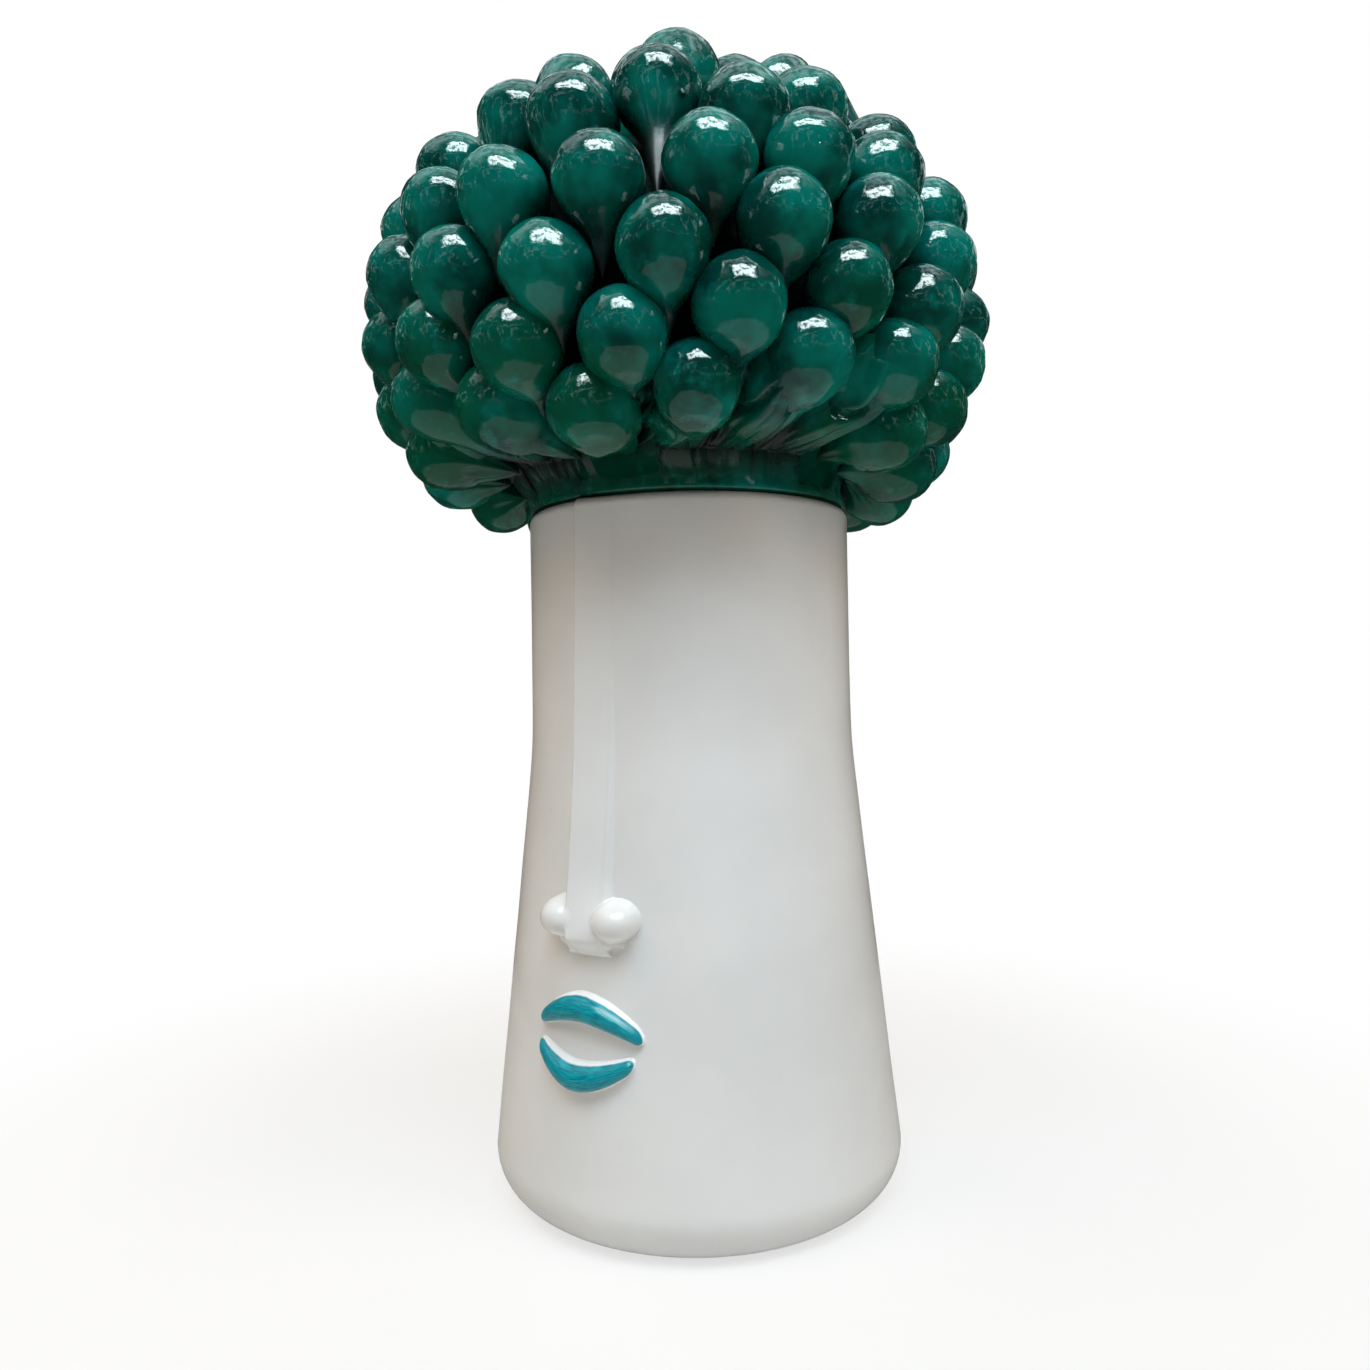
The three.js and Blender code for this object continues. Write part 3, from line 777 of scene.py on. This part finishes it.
def add_drop(bm, place, tip, smeared, scale, taper, chance):
    """Rolls a ball into a bulb with a tail that ends at tip, a little different each time."""
    azimuth, latitude, proud = place
    level_layer = bm.verts.layers.float["level"]
    bulb = over_dome(azimuth, latitude, bulb_offset + proud)
    size = drop_radius * scale * chance.uniform(*(smeared_size if smeared else bulb_size))
    outward = (bulb - over_dome(azimuth, latitude, 0)).normalized()
    end = tip + Vector([chance.uniform(-tip_scatter, tip_scatter) for _ in range(3)])
    tail = (end - bulb).normalized()
    length = (end - bulb).length * (1.0 if smeared else tail_stretch)
    width = chance.uniform(*(smeared_width if smeared else tail_width)) - width_loss * taper
    power = smeared_power if smeared else tail_power - power_loss * taper
    shoulder = bulb_shoulder + shoulder_gain * taper
    fall = bulb_fall - fall_loss * taper
    fullness = bulb_fullness + fullness_gain * taper
    blend = chance.uniform(*bulb_to_tail)
    side = tail.cross(outward).normalized()
    outward = side.cross(tail)
    lean = chance.uniform(-bulb_lean, bulb_lean)
    wide = chance.uniform(*bulb_width)
    seed = Vector([chance.uniform(-50, 50) for _ in range(3)])
    before = len(bm.verts)
    bm.from_mesh(clay_ball)
    bm.verts.ensure_lookup_table()
    for vert in bm.verts[before:]:
        x, y, z = vert.co
        down = max(z, 0.0)
        across, along = size, size * z
        if z > 0:
            along = length * z
            bulge = max(1 - (along / (shoulder * size)) ** fall, 0.0) ** fullness
            spine = width * (1 - z) ** power * smooth_step(-0.1, 0.5, z)
            across = size * (bulge ** blend + spine ** blend) ** (1 / blend)
            if smeared:
                round_tail = Vector((x, y, 0)) * (furrow_scale / max(math.hypot(x, y), 0.05))
                furrow = furrow_depth * noise.noise(seed + round_tail)
                across *= 1 + furrow * smooth_step(0.15, 0.65, z)
        bent = lean * size * down * (1 - z)
        deep = across * (1 + tail_under * down if y < 0 else 1 - tail_over * down)
        lump = 1 + lump_height * noise.noise(seed + Vector((x, y, z)) * lump_scale)
        lump += dent_height * noise.noise(seed - Vector((x, y, z)) * dent_scale)
        point = side * (x * across * wide * lump + bent) + outward * (y * deep * lump)
        vert.co = bulb + (point + tail * along * (0.5 + 0.5 * lump))
        # Painted shade: the level drops below each bulb's middle, so that its underside is painted
        # darker.
        underside_shade = underside_shade_depth * max(0.0, -(vert.co.z - bulb.z) / size)
        vert[level_layer] = dome_level(vert.co) + (smeared_level if smeared else 0.0) - underside_shade


# Where the lowest row is bare, the tails of the second row are smeared down over the neck with a
# thumb: one tongue under each bulb, drawn to the left and scored by the fingers.
smear_start = math.radians(-62)
smear_end = math.radians(116)
smear_top = math.radians(4)
smear_segments = (420, 64)
smear_root = 0.002
smear_sides = (0, 0.06)
smear_lift = 0.0006
smear_reach = 0.024
smear_foot = 0.0016
smear_level = 0.16
smear_drift = math.radians(-10)
drift_power = 1.3
drift_gain = 1.2
drift_waver, drift_scale = 0.05, (5, 4)
tongue_half_width = math.radians(10.6)
tongue_height = 0.0200
tongue_level = 0.75
score_height = 0.0034
thumb_share, thumb_scale = 0.6, (26, 0.9)
finger_share, finger_scale = 0.4, (70, 1.6)
fold_depth, fold_width, fold_scale = 0.006, 0.14, (9, 1.6)
collar_fold, collar_scale = 0.0040, (8, 1.5)
neck_share = 0.16
second_row = [place[0] for place in row_places(rows[1])]


def smear_base(azimuth, v):
    """A point of the bare shell under the smear and the direction out of it."""
    if v < neck_share:
        share = v / neck_share
        radius = seat_radius + seat_flare * smooth_step(0.3, 1, share)
        out = Vector((math.sin(azimuth), -math.cos(azimuth), 0))
        shifted = Vector((dome_centre.x, dome_centre.y, 0)) * smooth_step(0, 1, share)
        base = out * radius + shifted
        base.z = seat_height + smear_lift + (neck_height - smear_lift) * share
        return base, out
    share = (v - neck_share) / (1 - neck_share)
    top = row_latitude(rows[1], azimuth) + smear_top
    latitude = dome_low_angle + (top - dome_low_angle) * share
    base = over_dome(azimuth, latitude, 0)
    return base, (over_dome(azimuth, latitude, 0.01) - base).normalized()


def drawn(along, v, scale, seed):
    """Noise drawn out along the clay's way from the neck up."""
    return noise.noise(Vector((along * scale[0], v * scale[1], seed)))


def smear(u, v, sunk):
    """A point of the smeared clay, u along the neck and v up it."""
    azimuth = smear_start + (smear_end - smear_start) * u
    base, out = smear_base(azimuth, v)
    if sunk:
        return base - out * smear_root
    sides = smooth_step(*smear_sides, u) * smooth_step(*smear_sides, 1 - u)
    drift = smear_drift * (1 - v) ** drift_power
    along = azimuth - drift * (1 + drift_gain * smooth_step(0.5, 1, u))
    along += drift_waver * drawn(azimuth, v, drift_scale, 11.0)
    nearest = min(abs((along - place + math.pi) % (2 * math.pi) - math.pi) for place in second_row)
    tongue = 1 - smooth_step(0.25, 1.0, nearest / tongue_half_width)
    scores = thumb_share * drawn(along, v, thumb_scale, 3.1)
    scores += finger_share * drawn(along, v, finger_scale, 7.7)
    folds = abs(drawn(along, v, fold_scale, 21.0))
    marks = tongue_height * (tongue - tongue_level) * smooth_step(0.08, 0.5, v)
    marks += score_height * scores - fold_depth * smooth_step(fold_width, 0.0, folds)
    collar = collar_fold * drawn(along, v, collar_scale, 33.0)
    height = smear_foot + smear_reach * smooth_step(0.05, 0.85, v)
    height += marks * smooth_step(0.02, 0.30, v) + collar * smooth_step(0.0, 0.12, v)
    return base + out * (height * sides - 0.001 * (1 - sides))


for number, row in enumerate(rows, 1):
    below = rows[number - 2] if number > 1 else None
    chance = random.Random(100 + number)
    bm = patch(*smear_segments, smear) if number == 2 else bmesh.new()
    level_layer = bm.verts.layers.float.new("level")
    for vert in bm.verts:
        # The smear is lifted in level, so that it is painted less in shade.
        vert[level_layer] = dome_level(vert.co) + smear_level
    for place in row_places(row):
        add_drop(bm, place, *tail_tip(row, below, place[0]), row.get("size", 1),
                 row.get("taper", 0), chance)
    bmesh.ops.recalc_face_normals(bm, faces=bm.faces)
    finished(bm, f"drops_of_row_{number}", "lid", f"drop_row_{number}", green_glaze)

# Studio. A pale floor that fades to white, four soft lamps overhead, at the sides and at the back,
# a mottled card that only the glaze reflects, as a window seen through leaves, and a surround that
# is brighter overhead. Each lamp has its place, its size, its power and its tint.
lamp_places = {
    "overhead_softbox": ((0.95, 0.12, 1.88), (1.8, 0.8), 34, (0.60, 0.80, 1.0)),
    "right_softbox": ((0.60, 1.20, 1.70), (0.9, 1.1), 12.5, (1.0, 0.80, 0.60)),
    "left_softbox": ((0.45, -1.0, 1.60), (0.7, 0.9), 9, (1.0, 0.75, 0.50)),
    "back_softbox": ((-0.90, -1.20, 1.70), (0.9, 0.9), 8, (1.0, 0.86, 0.72)),
}
lid_middle = Vector((0, 0, 0.40))
floor_radius = 12
floor_dark = (0.73, 0.725, 0.71, 1)
floor_light = (0.76, 0.755, 0.74, 1)
floor_glow = (1, 0.99, 0.96, 1)
floor_haze = 0.70
haze_reach = (0.15, 0.60)
dust_scale, dust_range = 6.0, (0.3, 0.7)
card_size = (1.9, 1.15)
card_strength = 17
card_shade = 0.12
card_mottle_scale, card_mottle_range = 3.4, (0.36, 0.56)
card_edge_range = (1.15, 0.85)
uneven_edge_scale = 4.0
card_tint = (0.84, 0.98, 1.0, 1)
white = (1, 1, 1, 1)
warm_surround = (1.0, 0.87, 0.75, 1)
warm_overhead = (1.0, 0.75, 0.45, 1)
mirrored_tint = (0.80, 1.0, 1.0, 1)
surround_low = 0.04
surround_high = 0.40
mirrored_low = 0.02
mirrored_high = 1.5
mirrored_rise = (0.62, 0.95)
skyward_rise = (0.25, 0.9)
mirrored_floor = 0.34
mirrored_twigs = 1.3
cloud_scale, cloud_range, cloud_shade = 3.2, (0.42, 0.60), 0.2
twig_scale, twig_width, twig_rise = 2.3, 0.022, (-0.2, 0.4)
mirrored_reach = 0.50

floor_material, nodes, shader, place = new_material("pale_floor")
reach = nodes.add("ShaderNodeVectorMath", {"operation": "LENGTH"}, i0=place).outputs["Value"]
dust = nodes.ranged(nodes.noise(place, dust_scale, 3.0), *dust_range)
nodes.link(nodes.blend(dust, floor_dark, floor_light), shader.inputs["Base Color"])
shader.inputs["Roughness"].default_value = 0.9
path = nodes.add("ShaderNodeLightPath").outputs
seen_white = nodes.add("ShaderNodeEmission", Color=white, Strength=1.0).outputs[0]
# In the glaze's reflections the floor is painted light: a glow of fixed strength near the vase that
# fades out beyond mirrored_reach.
edge = nodes.plus(reach, nodes.times(nodes.noise(place, uneven_edge_scale, 2.0), 0.2))
lit = nodes.ranged(edge, mirrored_reach + 0.14, mirrored_reach + 0.10, mirrored_low, mirrored_floor)
mirrored = nodes.add("ShaderNodeEmission", Color=floor_glow, Strength=lit).outputs[0]
haze = nodes.times(nodes.ranged(reach, *haze_reach, floor_haze, 1.0), path["Is Camera Ray"])
mixed = nodes.add("ShaderNodeMixShader", i0=haze, i1=shader.outputs[0], i2=seen_white).outputs[0]
mixed = nodes.add("ShaderNodeMixShader", i0=path["Is Glossy Ray"], i1=mixed, i2=mirrored).outputs[0]
nodes.link(mixed, nodes.tree.nodes["Material Output"].inputs["Surface"])


def staged(bm, name, material):
    """Turns a bmesh into a thing of the studio, which isn't part of the vase."""
    thing = as_object(bm, name, material)
    return thing


def aimed(thing, place):
    """Sets a lamp or card at (front, aside, up) from the foot and turns it to the lid."""
    front, aside, up = place
    thing.location = to_camera * front + camera_right * aside + Vector((0, 0, up))
    thing.rotation_euler = (lid_middle - thing.location).to_track_quat("-Z", "Y").to_euler()


bm = bmesh.new()
bmesh.ops.create_circle(bm, cap_ends=True, segments=64, radius=floor_radius)
staged(bm, "floor", floor_material)

for name, (place, size, power, tint) in lamp_places.items():
    light = bpy.data.lights.new(name, "AREA")
    light.shape = "RECTANGLE"
    light.size, light.size_y = size
    light.energy = power
    light.color = tint
    lamp = bpy.data.objects.new(name, light)
    lamp.visible_glossy = False
    aimed(lamp, place)
    bpy.context.scene.collection.objects.link(lamp)

card_material, nodes, shader, place = new_material("mottled_card")
leaves = nodes.ranged(nodes.noise(place, card_mottle_scale, 3.0, 0.5), *card_mottle_range)
from_middle = [nodes.times(nodes.math("ABSOLUTE", part), 2 / length)
               for part, length in zip(nodes.parts(place), card_size)]
edge = nodes.math("MAXIMUM", *from_middle)
edge = nodes.plus(edge, nodes.times(nodes.noise(place, uneven_edge_scale, 2.0), 0.5))
strength = nodes.ranged(leaves, 0.0, 1.0, card_shade, 1.0)
strength = nodes.times(strength, nodes.ranged(edge, *card_edge_range))
strength = nodes.times(strength, card_strength)
glow = nodes.add("ShaderNodeEmission", Color=card_tint, Strength=strength).outputs[0]
nodes.link(glow, nodes.tree.nodes["Material Output"].inputs["Surface"])

bm = bmesh.new()
bmesh.ops.create_grid(bm, x_segments=1, y_segments=1, size=0.5)
bmesh.ops.scale(bm, vec=(*card_size, 1), verts=bm.verts)
card = staged(bm, "mottled_card", card_material)
aimed(card, lamp_places["overhead_softbox"][0])
card.visible_camera = False
card.visible_diffuse = False
card.visible_shadow = False

world = bpy.data.worlds.new("surround")
world.use_nodes = True
nodes = Nodes(world.node_tree)
path = nodes.add("ShaderNodeLightPath").outputs
heading = nodes.add("ShaderNodeTexCoord").outputs["Generated"]
rise = nodes.parts(heading)[2]
skyward = nodes.ranged(rise, *skyward_rise)
lit = nodes.ranged(skyward, 0.0, 1.0, surround_low, surround_high)
clouds = nodes.noise(heading, cloud_scale, 3.0, 0.55)
clouded = nodes.ranged(clouds, *cloud_range, cloud_shade, 1.0)
reflected = nodes.ranged(rise, *mirrored_rise, mirrored_low, mirrored_high)
reflected = nodes.times(reflected, clouded)
beside = nodes.math("SUBTRACT", nodes.noise(heading, twig_scale, 2.0, 0.5), 0.5)
twigs = nodes.ranged(nodes.math("ABSOLUTE", beside), twig_width, 0.0)
twigs = nodes.times(twigs, nodes.ranged(rise, *twig_rise, 0.0, mirrored_twigs))
reflected = nodes.plus(reflected, twigs)
strength = nodes.ranged(path["Is Glossy Ray"], 0.0, 1.0, lit, reflected)
strength = nodes.ranged(path["Is Camera Ray"], 0.0, 1.0, strength, 1.0)
tint = nodes.blend(skyward, warm_surround, warm_overhead)
tint = nodes.blend(path["Is Glossy Ray"], tint, mirrored_tint)
background = world.node_tree.nodes["Background"]
nodes.link(nodes.blend(path["Is Camera Ray"], tint, white), background.inputs["Color"])
nodes.link(strength, background.inputs["Strength"])
bpy.context.scene.world = world
